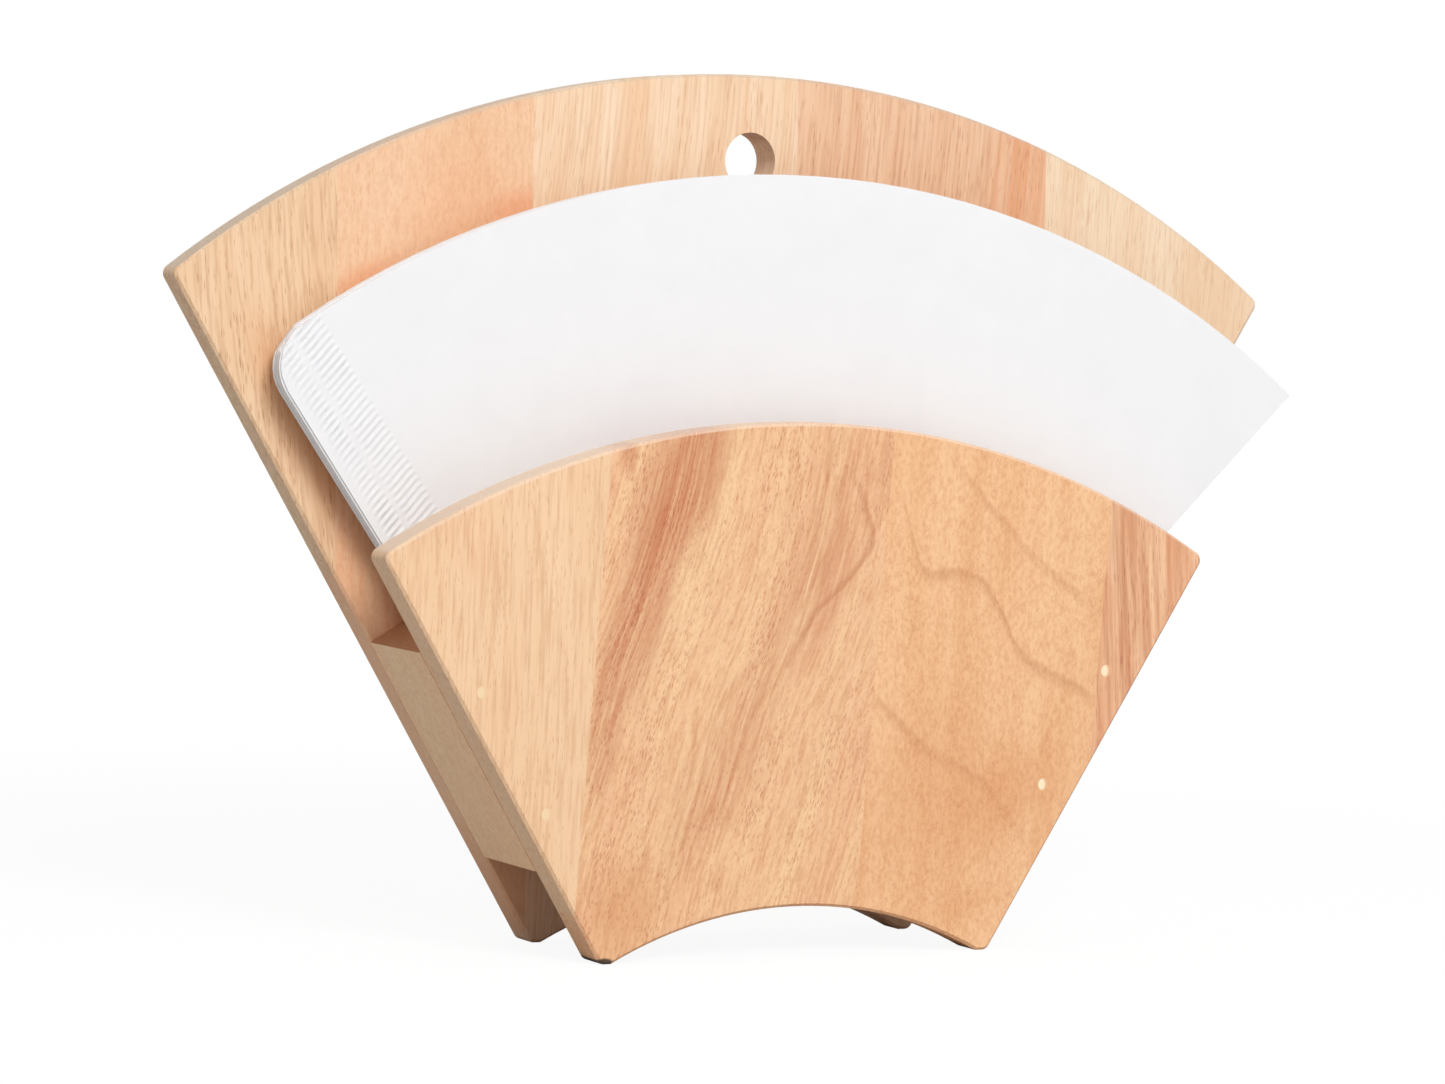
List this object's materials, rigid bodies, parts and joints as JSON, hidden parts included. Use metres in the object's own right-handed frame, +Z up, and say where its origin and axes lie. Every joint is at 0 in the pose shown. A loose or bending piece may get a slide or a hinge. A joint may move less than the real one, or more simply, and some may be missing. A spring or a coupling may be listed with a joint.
{
  "type": "coffee filter holder",
  "caption": "Fan-shaped wooden holder: a tall back board with a hanging hole and a short front board on spacer blocks form a slot in which a stack of cone paper filters hangs.",
  "frame": {"origin": "middle of the footprint, on the surface that the boards' foot flats stand on", "axes": "+Z up, +X to the right along the boards, +Y to the back, so that the short front board faces -Y"},
  "size_m": [0.2156, 0.0344, 0.1526],
  "materials": {
    "back_board_wood": "sanded hardwood, clear oil",
    "front_board_wood": "sanded hardwood, clear oil",
    "spacer_wood": "sanded hardwood, clear oil",
    "brad_steel": "bright drawn wire",
    "wood_filler": "sanded filler",
    "filter_paper": "bleached crepe paper, crimped seams"
  },
  "bodies": {
    "root": {"back_stave_1": "back_board_wood", "back_stave_2": "back_board_wood", "back_stave_3": "back_board_wood", "back_stave_4": "back_board_wood", "back_stave_5": "back_board_wood", "front_stave_1": "front_board_wood", "front_stave_2": "front_board_wood", "front_stave_3": "front_board_wood", "front_stave_4": "front_board_wood", "left_spacer": "spacer_wood", "right_spacer": "spacer_wood", "left_upper_brad": "brad_steel", "left_lower_brad": "brad_steel", "right_upper_brad": "brad_steel", "right_lower_brad": "brad_steel", "left_upper_filler": "wood_filler", "left_lower_filler": "wood_filler", "right_upper_filler": "wood_filler", "right_lower_filler": "wood_filler", "filter_stack": "filter_paper"}
  },
  "joints": []
}
